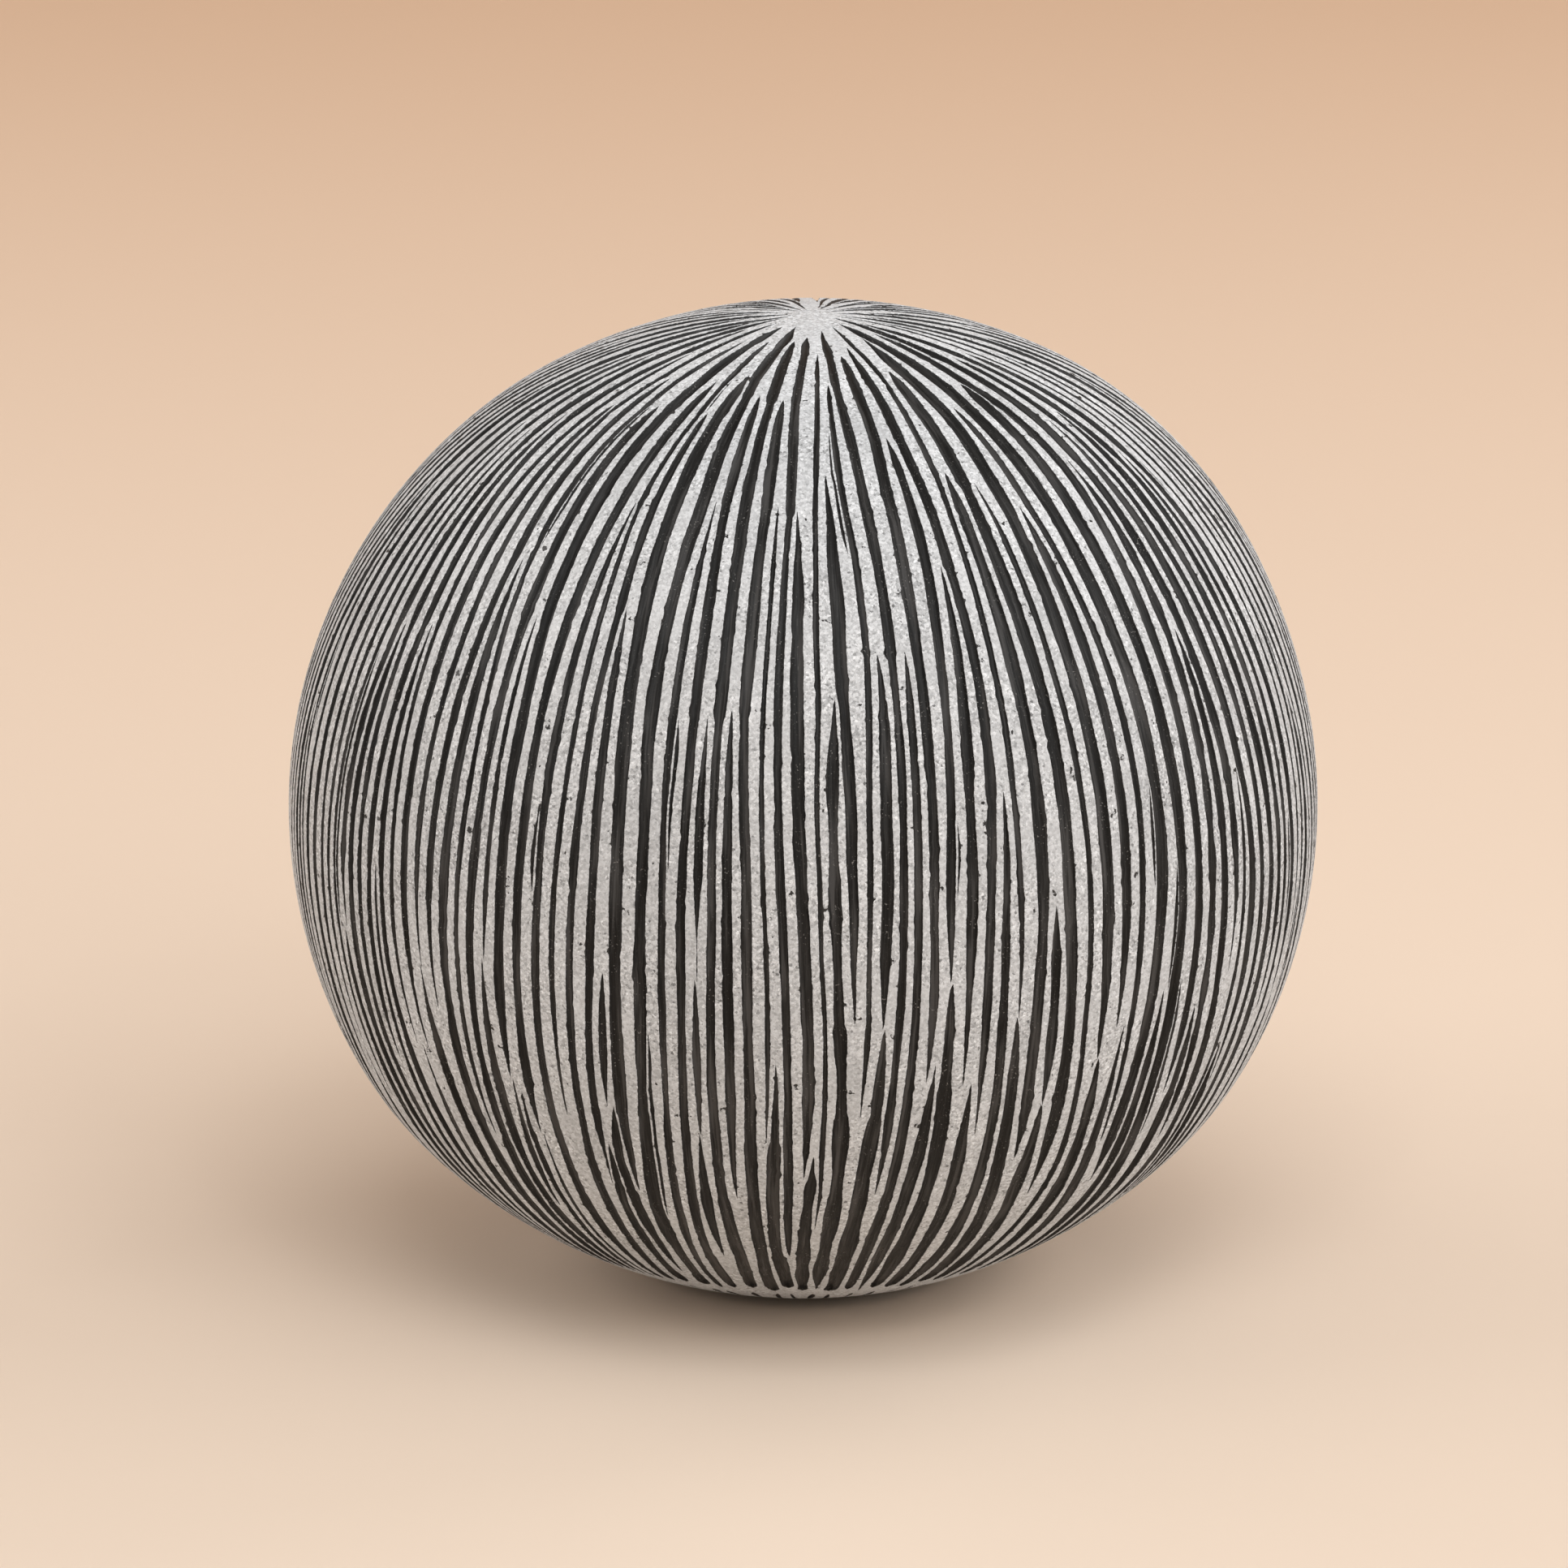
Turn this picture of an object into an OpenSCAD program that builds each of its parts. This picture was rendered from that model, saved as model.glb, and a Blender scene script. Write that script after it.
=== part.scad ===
// Carved ceramic ball: a hollow stoneware ball in two halves, luted at the belt,
// coated with pale sandy slip that is carved through in long upright strokes.
// Frame: +Z up, Z = 0 is the surface the ball stands on, the ball's axis is Z.

/* [Ball] */
// Diameter across the widest belt
ball_d = 200; // [160:5:260]
// Height of the crown above the belt, as a share of the radius
crown_rise = 0.982; // [0.97:0.002:0.99]
// Radius of the flatter crown, as a share of the ball's radius
crown_r = 1.10; // [1.06:0.01:1.16]
// Height of the flat foot below the belt, as a share of the radius
foot_fall = 0.912; // [0.9:0.002:0.92]
// Radius of the flatter underside, as a share of the ball's radius
base_r = 1.067; // [1.06:0.001:1.09]

/* [Wall] */
// Thickness of the stoneware wall
wall = 8; // [6:0.5:9]
// Thickness of the pale slip coat over the stoneware
slip_t = 0.5; // [0.4:0.1:1.2]

/* [Foot] */
// Width of the turned foot ring
foot_ring_w = 9; // [8:0.5:10]
// Depth of the turned recess inside the foot ring
foot_recess = 3; // [2:0.5:4]
// Diameter of the vent hole through the floor
vent_d = 6; // [4:0.5:8]

/* [Seam] */
// Thickness of the joining slip between the two rims
lute_t = 1; // [0.6:0.1:1.5]
// Depth of the V notch round the seam
notch_depth = 4; // [3:0.5:5]
// Half angle of the V notch in degrees
notch_angle = 35; // [25:5:40]

/* [Carving] */
// Width of a carved stroke
stroke_w = 1.8; // [1.2:0.1:1.8]
// Strokes in each of the two courses round the ball
strokes = 180; // [80:4:180]

/* [Felt pads] */
// Number of felt pads under the foot ring
pads = 4; // [3:1:6]
// Diameter of a felt pad
pad_d = 8; // [5:0.5:8]
// Thickness of a felt pad
pad_t = 1.5; // [1:0.5:3]

/* [Hidden] */
$fn = 128;
R = ball_d / 2;
F = foot_fall * R;           // foot plane below the belt
belt_z = F + pad_t;          // height of the belt above the ground
base_close = 0.9545 * R;     // where the underside would close without the foot
foot_outer = 0.28 * R;
foot_inner = foot_outer - foot_ring_w;
pad_at = foot_outer - foot_ring_w / 2;

// The half outline of the ball right of its axis, taken in by t all round:
// a main sphere, flattened by a larger sphere at the crown and one at the base
module outline(t) {
    intersection() {
        circle(r = R - t);
        translate([0, (crown_rise - crown_r) * R]) circle(r = crown_r * R - t);
        translate([0, base_r * R - base_close]) circle(r = base_r * R - t);
        translate([0, -2 * R]) square([2 * R, 4 * R]);
    }
}

// A slab of the section plane between two heights
module band(z0, z1) translate([-R, z0]) square([3 * R, z1 - z0]);

// The clay wall in section: foot cut flat, cavity closed by a flat floor
module wall_section() {
    difference() {
        outline(slip_t);
        band(-2 * R, -F);
        intersection() {
            outline(slip_t + wall);
            band(-F + foot_recess + wall, 2 * R);
        }
        translate([-1, -F - 1]) square([1 + foot_inner, 1 + foot_recess]);
        translate([-1, -F - 1]) square([1 + vent_d / 2, wall + foot_recess + 2]);
    }
}

// The V notch round the seam in section
module notch_section() {
    r0 = R - slip_t - notch_depth;
    g = notch_depth * 2;
    polygon([[r0, -lute_t / 2], [r0 + g, -lute_t / 2 - g * tan(notch_angle)],
             [r0 + g, lute_t / 2 + g * tan(notch_angle)], [r0, lute_t / 2]]);
}

module lift() translate([0, 0, belt_z]) children();

module upper_shell() {
    color("#3b3a3c") lift() rotate_extrude() difference() {
        wall_section();
        band(-2 * R, lute_t / 2);
        notch_section();
    }
}

module lower_shell() {
    color("#333234") lift() rotate_extrude() difference() {
        wall_section();
        band(-lute_t / 2, 2 * R);
        notch_section();
    }
}

module joining_slip() {
    color("#6e6a66") lift() rotate_extrude() difference() {
        intersection() {
            wall_section();
            band(-lute_t / 2, lute_t / 2);
        }
        notch_section();
    }
}

module seam_coil() {
    color("#55504c") lift() rotate_extrude($fn = 360) intersection() {
        outline(slip_t, $fn = 720);
        notch_section();
    }
}

// One carving stroke: a thin upright cutter that runs through the coat
// from height z0 to z1, no nearer the axis than r0
module stroke(z0, z1, r0) translate([r0, -stroke_w / 2, z0]) cube([1.2 * R - r0, stroke_w, z1 - z0]);

module slip_coat() {
    color("#d8d5cf") lift() difference() {
        rotate_extrude() difference() {
            outline(0);
            outline(slip_t);
            band(-2 * R, -F);
        }
        // upper course: from the crown down to the belt, starts and ends staggered
        for (i = [0 : strokes - 1])
            rotate([0, 0, i * 360 / strokes])
                stroke(-R * [0.06, 0.16, 0.10, 0.22][i % 4], 1.1 * R,
                       R * [0.20, 0.76, 0.40, 0.76][i % 4]);
        // lower course: from the belt down to the foot, between the upper strokes
        for (i = [0 : strokes - 1])
            rotate([0, 0, (i + 0.5) * 360 / strokes])
                stroke([0.02 * R - F, -0.65 * R][i % 2],
                       -R * [0.13, 0.04, 0.20, 0.08][i % 4], 0.3 * R);
    }
}

module felt_pads() {
    color("#7b7a78") for (i = [0 : pads - 1])
        rotate([0, 0, (i + 0.5) * 360 / pads]) translate([pad_at, 0, 0]) cylinder(d = pad_d, h = pad_t);
}

upper_shell();
lower_shell();
joining_slip();
seam_coil();
slip_coat();
felt_pads();
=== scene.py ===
import math

import bpy
import numpy as np
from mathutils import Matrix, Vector


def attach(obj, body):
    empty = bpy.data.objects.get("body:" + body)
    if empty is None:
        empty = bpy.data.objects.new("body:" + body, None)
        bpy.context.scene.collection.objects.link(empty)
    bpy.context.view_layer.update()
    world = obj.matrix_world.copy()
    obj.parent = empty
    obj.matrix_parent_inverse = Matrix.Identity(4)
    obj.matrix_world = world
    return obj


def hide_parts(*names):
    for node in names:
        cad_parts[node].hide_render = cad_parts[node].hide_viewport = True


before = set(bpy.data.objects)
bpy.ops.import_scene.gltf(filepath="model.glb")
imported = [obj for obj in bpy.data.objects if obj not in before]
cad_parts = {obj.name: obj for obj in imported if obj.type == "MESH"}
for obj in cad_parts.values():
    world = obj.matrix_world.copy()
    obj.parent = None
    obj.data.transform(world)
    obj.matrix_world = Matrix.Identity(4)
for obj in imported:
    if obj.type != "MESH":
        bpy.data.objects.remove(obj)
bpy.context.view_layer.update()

# A hollow stoneware ball in two shells, coated in pale sandy slip and carved by hand.
# Lengths in this script are in mm until a mesh is written; metres after that.

# ---- the ball's outline, mm, measured from the middle of its belt -------------------------------
BELT, FOOT = 92.7, 91.2                    # belt above the table, foot ring below the belt
CROWN_Z, CROWN_R = -11.8, 110.0            # the flatter crown's sphere
BASE_Z, BASE_R = 11.25, 106.7              # the flatter base's sphere
CARVE_X, CARVE_Y = 1.7, -5.0               # where the strokes converge, off the true crown


def outline_table():
    th = np.linspace(0, math.pi, 7201)
    c = np.cos(th)
    hit = lambda zc, r: zc * c + np.sqrt(np.maximum(r * r - zc * zc * (1 - c * c), 0))
    rho = np.minimum(np.minimum(np.full_like(th, 100.0), hit(CROWN_Z, CROWN_R)), hit(BASE_Z, BASE_R))
    k = np.exp(-0.5 * (np.arange(-400, 401) * (th[1] - th[0]) / math.radians(4.0)) ** 2)
    k /= k.sum()
    rho = np.convolve(np.concatenate([rho[400:0:-1], rho, rho[-2:-402:-1]]), k, "valid") * 0.9997
    keep = rho * c >= -FOOT - 0.5
    th, rho = th[keep], rho[keep]
    r, z = rho * np.sin(th), rho * np.cos(th)
    arc = np.concatenate([[0], np.cumsum(np.hypot(np.diff(r), np.diff(z)))])
    return arc, th, rho, r, z


ARC, TH, RHO, RR, ZZ = outline_table()
S_BELT = float(np.interp(0, -ZZ, ARC))
S_UP = float(np.interp(-3.3, -ZZ, ARC))    # edges of the filled seam
S_DOWN = float(np.interp(3.3, -ZZ, ARC))
S_END = float(np.interp(90.55, -ZZ, ARC))  # where the slip is wiped off the foot


def row_table():
    """Rows down the ball, with a row on the belt and on both edges of the seam filling."""
    a = np.linspace(0, S_UP, int(round(S_UP / STEP)) + 1)
    b = np.linspace(S_UP, S_DOWN, 7)
    c = np.linspace(S_DOWN, S_END, int(round((S_END - S_DOWN) / STEP)) + 1)
    return np.concatenate([a, b[1:], c[1:]])


STEP = 1.16
ROWS = row_table()
RAD = np.interp(ROWS, ARC, RR)
CUTS = [int(np.argmin(abs(ROWS - s))) for s in (S_UP, S_BELT, S_DOWN)]


def wave(rng, s, lengths, amp):
    y = np.zeros(len(s))
    for w in lengths:
        y += rng.normal() * np.sin(2 * math.pi * (s / (w * rng.uniform(0.8, 1.25)) + rng.uniform()))
    return y * amp * 1.2 / math.sqrt(len(lengths))


def at(s, *pairs):
    return float(np.interp(s, pairs[0::2], pairs[1::2]))


def grow(seed):
    """Cuts the strokes row by row from the crown down, as the carver fills the ball.
    Every stroke keeps to its own lane, and a new one opens wherever the land between two gets too wide.
    Some carry a thin second cut close beside them. Gives each stroke's centre (angle), width in mm, first and last row."""
    rng = np.random.default_rng(seed)
    n, two, never = len(ROWS), 2 * math.pi, 10 ** 6
    size = 1800
    pos, wid = np.zeros((size, n)), np.zeros((size, n))
    first, last = np.full(size, -1), np.full(size, -1)
    nat, born, ends = np.zeros(size), np.ones(size), np.full(size, 14.0)
    pb, pe = np.ones(size), np.full(size, 0.8)
    plan = np.full(size, never)
    own, swell, order, count = {}, {}, [0], 1
    beside = {}                            # thin second cuts: stroke -> (main stroke, side, gap along the rows)
    first[0], last[0] = 0, n - 1           # stroke 0 is never cut: it is the line where the mesh closes, at the back
    pos[0, 0] = math.pi
    flow = [(m, rng.normal(), rng.uniform(0, two), rng.uniform(-1, 1) * two / rng.uniform(90, 220))
            for m in (2, 3, 4, 5, 7, 9, 11, 14, 18, 23)]
    row_of = lambda s: int(np.searchsorted(ROWS, s))
    bottom = row_of(254.6)

    def natural():
        if rng.uniform() < 0.13:
            return rng.uniform(0.8, 1.25)
        return float(np.clip(rng.normal(1.83, 0.20), 1.35, 2.25))

    def birth(j, angle, w, taper, power):
        nonlocal count
        i, count = count, count + 1
        if angle - two > pos[0, j] + 0.25 / max(RAD[j], 1.0):
            angle -= two
        pos[i, j], first[i], nat[i], born[i], pb[i] = angle, j, w, taper, power
        own[i] = wave(rng, ROWS, (19, 34, 55), 0.012)
        swell[i] = wave(rng, ROWS, (14, 27, 47), 0.080)
        q = 1
        while q < len(order) and pos[order[q], j] < angle:
            q += 1
        order.insert(q, i)
        return i

    starts = []
    for k in range(50):                    # the strokes that open at the crown
        a = (k + 0.5 + rng.uniform(-0.22, 0.22)) * two / 50
        deep = max(0.0, -math.cos(a)) ** 2 # farther from the middle in front than at the sides and behind
        s0 = rng.uniform(15, 23.5) * (0.6 + 0.4 * deep) if k % 2 else rng.uniform(6.5, 14.5) * (0.36 + 0.64 * deep)
        starts.append((row_of(s0), a))
    starts.sort()
    under = []
    for k in range(76):                    # the short set under the plain rim
        under.append((row_of(258.6 + abs(rng.normal()) * 1.1), (k + 0.5 + rng.uniform(-0.25, 0.25)) * two / 76))
    under.sort()
    limit, chosen, relay = {}, set(), []
    for j in range(n):
        s, r = ROWS[j], max(RAD[j], 1.0)
        step = ROWS[j] - ROWS[j - 1] if j else STEP
        frozen = any(abs(j - c) <= 1 for c in CUTS)

        def reach(i, side, jj, full=0.0):
            """From a stroke's centre to the edge of its cut on one side, its second cut included."""
            h = max(wid[i, jj], full * nat[i]) / 2
            for c, (main, sd, gap) in beside.items():
                if main == i and sd == side and last[c] < 0:
                    h += gap[jj] + wid[c, jj]
            return h

        mains = [i for i in order if i and i not in beside]
        if j and mains:
            m = len(mains)
            p = np.array([pos[i, j - 1] for i in mains])
            hr = np.array([reach(i, 1, j - 1) for i in mains])
            hl = np.array([reach(i, -1, j - 1) for i in mains])
            nx = np.roll(p, -1)
            nx[-1] += two
            land = (nx - p) * r - hr - np.roll(hl, -1)
            left = np.roll(land, 1)
            drift = sum(a * np.sin(q * p + ph + kz * s) for q, a, ph, kz in flow) / math.sqrt(len(flow))
            drift = drift * at(s, 0, 0.006, 40, 0.022, 90, 0.030, 170, 0.034, 215, 0.046, 250, 0.04)
            drift += np.array([own[i][j] for i in mains]) * at(s, 0, 0.8, 60, 1.0, 180, 1.1, 230, 1.35)
            drift += np.clip(at(s, 150, 0.028, 190, 0.016, 225, 0.018, 240, 0.03) * (land - left), -0.10, 0.10) * (m > 2)
            drift += 0.22 * np.clip(0.55 - left, 0, 0.5) - 0.22 * np.clip(0.55 - land, 0, 0.5)
            p = p + np.clip(drift, -0.3, 0.3) * step / r
            for q in range(1, m):
                p[q] = max(p[q], p[q - 1] + 0.3 / r)
            pos[mains, j] = p
            for c, (main, side, gap) in beside.items():
                if last[c] < 0:
                    pos[c, j] = pos[main, j] + side * (wid[main, j - 1] / 2 + gap[j] + wid[c, j - 1] / 2 + 0.02) / r
            # the closing line runs in the land right of the last stroke
            p0, tail, head = pos[0, j - 1], order[-1], order[1]
            want = pos[tail, j] - two + (wid[tail, j - 1] / 2 + 0.4) / r
            p0 = p0 + np.clip(want - p0, -0.7 * step / r, 0.7 * step / r)
            p0 = min(p0, pos[head, j] - (wid[head, j - 1] / 2 + 0.25) / r)
            p0 = max(p0, pos[tail, j] - two + (wid[tail, j - 1] / 2 + 0.25) / r)
            pos[0, j] = p0
        elif j:
            pos[0, j] = pos[0, j - 1]
        while starts and starts[0][0] <= j:
            birth(j, starts.pop(0)[1] + pos[0, j], natural() * 0.97, rng.uniform(4, 10), rng.uniform(0.6, 1.0))
        while under and under[0][0] <= j:
            i = birth(j, under.pop(0)[1] + pos[0, j], natural() * 0.9, rng.uniform(2.5, 5), 0.5)
            plan[i], ends[i], pe[i] = row_of(rng.uniform(272.5, 276.0)), 2.5, 0.5
        # how wide each is cut here
        base = at(s, 6, 0.66, 18, 0.96, 24, 1.06, 30, 1.05, 42, 1.08, 60, 1.11, 100, 1.11, 130, 1.07, 150, 1.01,
                  172, 0.98, 190, 1.09, 202, 1.19, 225, 1.23, 245, 1.24, 256, 1.10, 262, 0.72, 275, 0.55)
        mains = [i for i in order if i and i not in beside]
        if mains:
            p = np.array([pos[i, j] for i in mains])
            nx = np.roll(p, -1)
            nx[-1] += two
            gap = (nx - p) * r
            pitch = (gap + np.roll(gap, 1)) / 2
        for q, i in enumerate(mains):
            age = s - ROWS[first[i]]
            body = nat[i] * base * (1 + swell[i][j] * at(s, 20, 0.4, 70, 0.65, 135, 1.0))
            if 20 < s < 256:
                body *= min(max(pitch[q] / 3.35, 0.6), 1.12) ** 0.75
            off = (pos[i, j] - 0.68 + math.pi) % two - math.pi       # the carver pressed harder on this side
            body *= 1 + 0.13 * math.exp(-(off / 0.38) ** 2) * min(1.0, s / 60)
            t = min(1.0, age / born[i]) ** pb[i]
            if plan[i] < never:
                t *= min(1.0, max(0.0, ROWS[min(plan[i], n - 1)] - s) / ends[i]) ** pe[i]
            wid[i, j] = max(body * t, 0.10) if age > 0 else 0.0
        for i, (main, side, gap) in beside.items():
            if last[i] >= 0:
                continue
            if plan[main] < never:
                plan[i] = min(plan[i], max(j, plan[main] - 3))
            age, rest = s - ROWS[first[i]], max(0.0, ROWS[min(plan[i], n - 1)] - s)
            t = min(1.0, age / born[i]) ** pb[i] * min(1.0, rest / ends[i]) ** pe[i]
            wid[i, j] = max(nat[i] * (1 + 1.5 * swell[i][j]) * t, 0.08) if age > 0 else 0.0
        if not frozen:
            for i in [i for i in order if i and plan[i] <= j]:
                wid[i, j], last[i] = 0, j
                order.remove(i)
        mains = [i for i in order if i and i not in beside]
        if 24 < s < 200 and not frozen:    # a land has grown too wide: open a stroke in it
            for q in range(len(mains)):
                i, nxt = mains[q], mains[(q + 1) % len(mains)]
                a = pos[i, j]
                b = pos[nxt, j] + (two if q + 1 >= len(mains) else 0)
                wi, wn = reach(i, 1, j, 0.95 * base), reach(nxt, -1, j, 0.95 * base)
                land = (b - a) * r - wi - wn
                if (i, nxt) not in limit:
                    lo, hi = (2.0, 3.2) if s < 60 else ((2.15, 3.5) if s < 140 else ((3.1, 4.4) if s < 172 else (4.4, 5.6)))
                    limit[i, nxt] = rng.uniform(lo, hi)
                if land > limit[i, nxt]:
                    side = 0.5 + rng.uniform(-0.1, 0.1)
                    if rng.uniform() < 0.22:
                        side = rng.uniform(0.1, 0.25) if rng.uniform() < 0.5 else rng.uniform(0.75, 0.9)
                    w = natural()
                    if land < 2.25:
                        w = min(w, rng.uniform(1.0, 1.7))
                    birth(j, a + (wi + land * side) / r, w, rng.uniform(4, 8) if s < 55 else rng.uniform(8, 20),
                          rng.uniform(0.5, 0.85))
        if 30 < s < 185 and not frozen:    # a thin second cut beside a stroke
            busy = {(m, sd) for c, (m, sd, g) in beside.items() if last[c] < 0}
            for q, i in enumerate(mains):
                if plan[i] < never or s - ROWS[first[i]] < 10 or rng.uniform() > 0.0040 * step:
                    continue
                side = 1 if rng.uniform() < 0.5 else -1
                nb = mains[(q + side) % len(mains)]
                d = (pos[nb, j] - pos[i, j]) * side
                d += two if d < 0 else 0
                land = d * r - reach(i, side, j) - reach(nb, -side, j)
                if (i, side) in busy or (nb, -side) in busy or land < 1.9 or 0 in (q, (q + side) % len(mains)):
                    continue
                g = rng.uniform(0.17, 0.40) + wave(rng, ROWS, (17, 33), 0.05)
                c = birth(j, pos[i, j] + side * (wid[i, j] / 2 + g[j]) / r, rng.uniform(0.35, 0.85),
                          rng.uniform(4, 12), rng.uniform(0.6, 1.0))
                beside[c] = (i, side, np.clip(g, 0.16, 0.6))
                plan[c] = j + int(rng.uniform(12, 55) / STEP)
                ends[c] = rng.uniform(4, 12)
        if 142 < s < 204:                  # the belt: upper strokes run out among the starts of the lower ones
            rate = at(s, 140, 0.008, 152, 0.014, 188, 0.013, 204, 0.009) * STEP
            for i in mains:
                if plan[i] < never or s - ROWS[first[i]] < 20 or i in chosen or rng.uniform() > rate:
                    continue
                chosen.add(i)
                t = rng.uniform(11, 27)
                ends[i], pe[i] = t, rng.uniform(0.6, 1.0)
                plan[i] = j + int(t / STEP)
                if rng.uniform() < 0.18:
                    relay.append((j + int(rng.uniform(0.15, 0.85) * t / STEP), i))
            for jj, i in [x for x in relay if x[0] == j]:
                if i not in order or frozen:
                    continue
                q, side = mains.index(i), (1 if rng.uniform() < 0.5 else -1)
                nb = mains[(q + side) % len(mains)]
                d = (pos[nb, j] - pos[i, j]) * side
                d += two if d < 0 else 0
                h = reach(i, side, j)
                land = d * r - h - reach(nb, -side, j)
                if land < 1.0 or 0 in (q, (q + side) % len(mains)):
                    continue
                birth(j, pos[i, j] + side * (h + land * 0.5) / r, natural(), rng.uniform(8, 18), rng.uniform(0.55, 0.9))
        if s > 174 and j < bottom - 12:    # lanes narrow towards the foot: squeezed strokes stop
            mains = [i for i in order if i and i not in beside]
            m = len(mains)
            p = np.array([pos[i, j] for i in mains])
            full = np.array([max(wid[i, j], nat[i] * base * 0.9) for i in mains])
            nx = np.roll(p, -1)
            nx[-1] += two
            land = (nx - p) * r - (full + np.roll(full, -1)) / 2
            tot = land + np.roll(land, 1)
            blocked = set()
            for q in np.argsort(tot):
                i = mains[q]
                if plan[i] < never or q in blocked or s - ROWS[first[i]] < 14:
                    continue
                if any(plan[mains[(q + d) % m]] < never for d in (-2, -1, 1, 2)):
                    continue
                if tot[q] < at(s, 172, 2.5, 184, 2.9, 200, 2.4, 212, 1.8, 235, 1.6, 245, 1.4) and rng.uniform() < 0.34:
                    t = rng.uniform(10, 24)
                    ends[i], pe[i] = t, rng.uniform(0.5, 0.9)
                    plan[i] = j + int(t / STEP)
                    blocked |= {(q + d) % m for d in (-2, -1, 1, 2)}
        if j == bottom - 6:                # the long strokes all stop above the plain rim
            for i in order:
                if i and plan[i] > bottom + 20:
                    plan[i] = max(bottom + int(round(rng.normal(0.5, 0.8))), j + 2)
                    ends[i], pe[i] = rng.uniform(1.8, 3.6), 0.5
    keep = [0] + [i for i in range(1, count) if 0 <= last[i] < n - 1 and last[i] - first[i] >= 4]
    return pos[keep], wid[keep], first[keep], last[keep]


def edges(seed, pos, wid, first, last):
    """The two cut edges of every stroke: its width with a hand's unevenness, held clear of its neighbours."""
    rng = np.random.default_rng(seed)
    n = len(ROWS)
    k = len(pos)
    rag = np.zeros((2, k, n))
    for i in range(1, k):
        for e in (0, 1):
            y = wave(rng, ROWS, (3.6, 6.1, 11.0), 0.024)
            for _ in range(rng.poisson((ROWS[last[i]] - ROWS[first[i]]) / 24)):
                c = rng.integers(first[i], last[i] + 1)
                y[c] += rng.uniform(0.07, 0.26) * (1 if rng.uniform() < 0.7 else -1)
            rag[e, i] = y
    snug = rng.uniform(0.16, 0.5, k)
    L, R, orders = pos.copy(), pos.copy(), []
    for j in range(n):
        here = [i for i in range(k) if first[i] <= j <= last[i]]
        here.sort(key=lambda i: pos[i, j])
        here.remove(0)
        r = max(RAD[j], 0.5)
        if here:
            base = pos[0, j]
            c = (np.array([pos[i, j] for i in here]) - base) * r
            w = np.array([wid[i, j] for i in here])
            full = 2 * math.pi * r
            g = np.array([snug[i] for i in here])
            for _ in range(3):             # centres too close together are eased apart
                d = np.diff(c)
                need = (w[1:] + w[:-1]) / 2 * 0.6 + g[1:]
                short = np.clip(need - d, 0, None) / 2
                c[1:] += short
                c[:-1] -= short
            c[0] = max(c[0], 0.3)
            for q in range(1, len(c)):
                c[q] = max(c[q], c[q - 1] + 0.3)
            c = np.minimum(c, full - 0.3 - 0.3 * np.arange(len(c))[::-1])
            lo = c - w / 2 - rag[0, here, j] * np.minimum(1, w)
            hi = c + w / 2 + rag[1, here, j] * np.minimum(1, w)
            lo, hi = np.minimum(lo, c - w * 0.15), np.maximum(hi, c + w * 0.15)
            for _ in range(2):
                short = np.clip(g[1:] - (lo[1:] - hi[:-1]), 0, None)
                lo[1:] = np.minimum(lo[1:] + short / 2, c[1:] - w[1:] * 0.1)
                hi[:-1] = np.maximum(hi[:-1] - short / 2, c[:-1] + w[:-1] * 0.1)
            lo[0], hi[-1] = max(lo[0], 0.15), min(hi[-1], full - 0.15)
            for q, i in enumerate(here):
                if j in (first[i], last[i]):
                    L[i, j] = R[i, j] = base + c[q] / r
                else:
                    L[i, j], R[i, j] = base + lo[q] / r, base + hi[q] / r
        orders.append([0] + here)
    return L, R, orders


# ---- from the carver's map to the ball ------------------------------------------------------------
# A point on the map is (angle from the front, length down the ball, height above the surface).
LOBES = [                                  # hand-made unevenness: azimuth, polar angle, width, mm
    (107.7, 42.4, 24, 1.15), (101.8, 53.6, 13, 0.40), (-114.8, 33.4, 22, -0.85), (-98.8, 61.2, 18, -0.38)]


def radius_to(d):
    """How far the surface is from the belt's middle in each unit direction."""
    t = np.arccos(np.clip(d[:, 2], -1, 1))
    rho = np.interp(t, TH, RHO)
    fade = np.clip((math.radians(150) - t) / math.radians(25), 0, 1)
    fade = fade * fade * (3 - 2 * fade)
    for az, pol, width, amount in LOBES:
        a, p = math.radians(az), math.radians(pol)
        c = np.array([math.sin(p) * math.sin(a), -math.sin(p) * math.cos(a), math.cos(p)])
        rho = rho + fade * amount * np.exp((d @ c - 1) / (1 - math.cos(math.radians(width))))
    return rho


def direction(phi, s):
    r0 = np.interp(s, ARC, RR)
    f = np.clip(1 - s / 85.0, 0, 1)
    f = f * f * (3 - 2 * f)
    x, y = r0 * np.sin(phi) + CARVE_X * f, -r0 * np.cos(phi) + CARVE_Y * f
    q = np.hypot(x, y)
    top = TH[: int(np.argmax(RR)) + 1]
    t = np.where(f > 0, np.interp(q, RR[: len(top)], top), np.interp(s, ARC, TH))
    q = np.maximum(q, 1e-9)
    return np.stack([np.sin(t) * x / q, np.sin(t) * y / q, np.cos(t)], -1)


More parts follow.
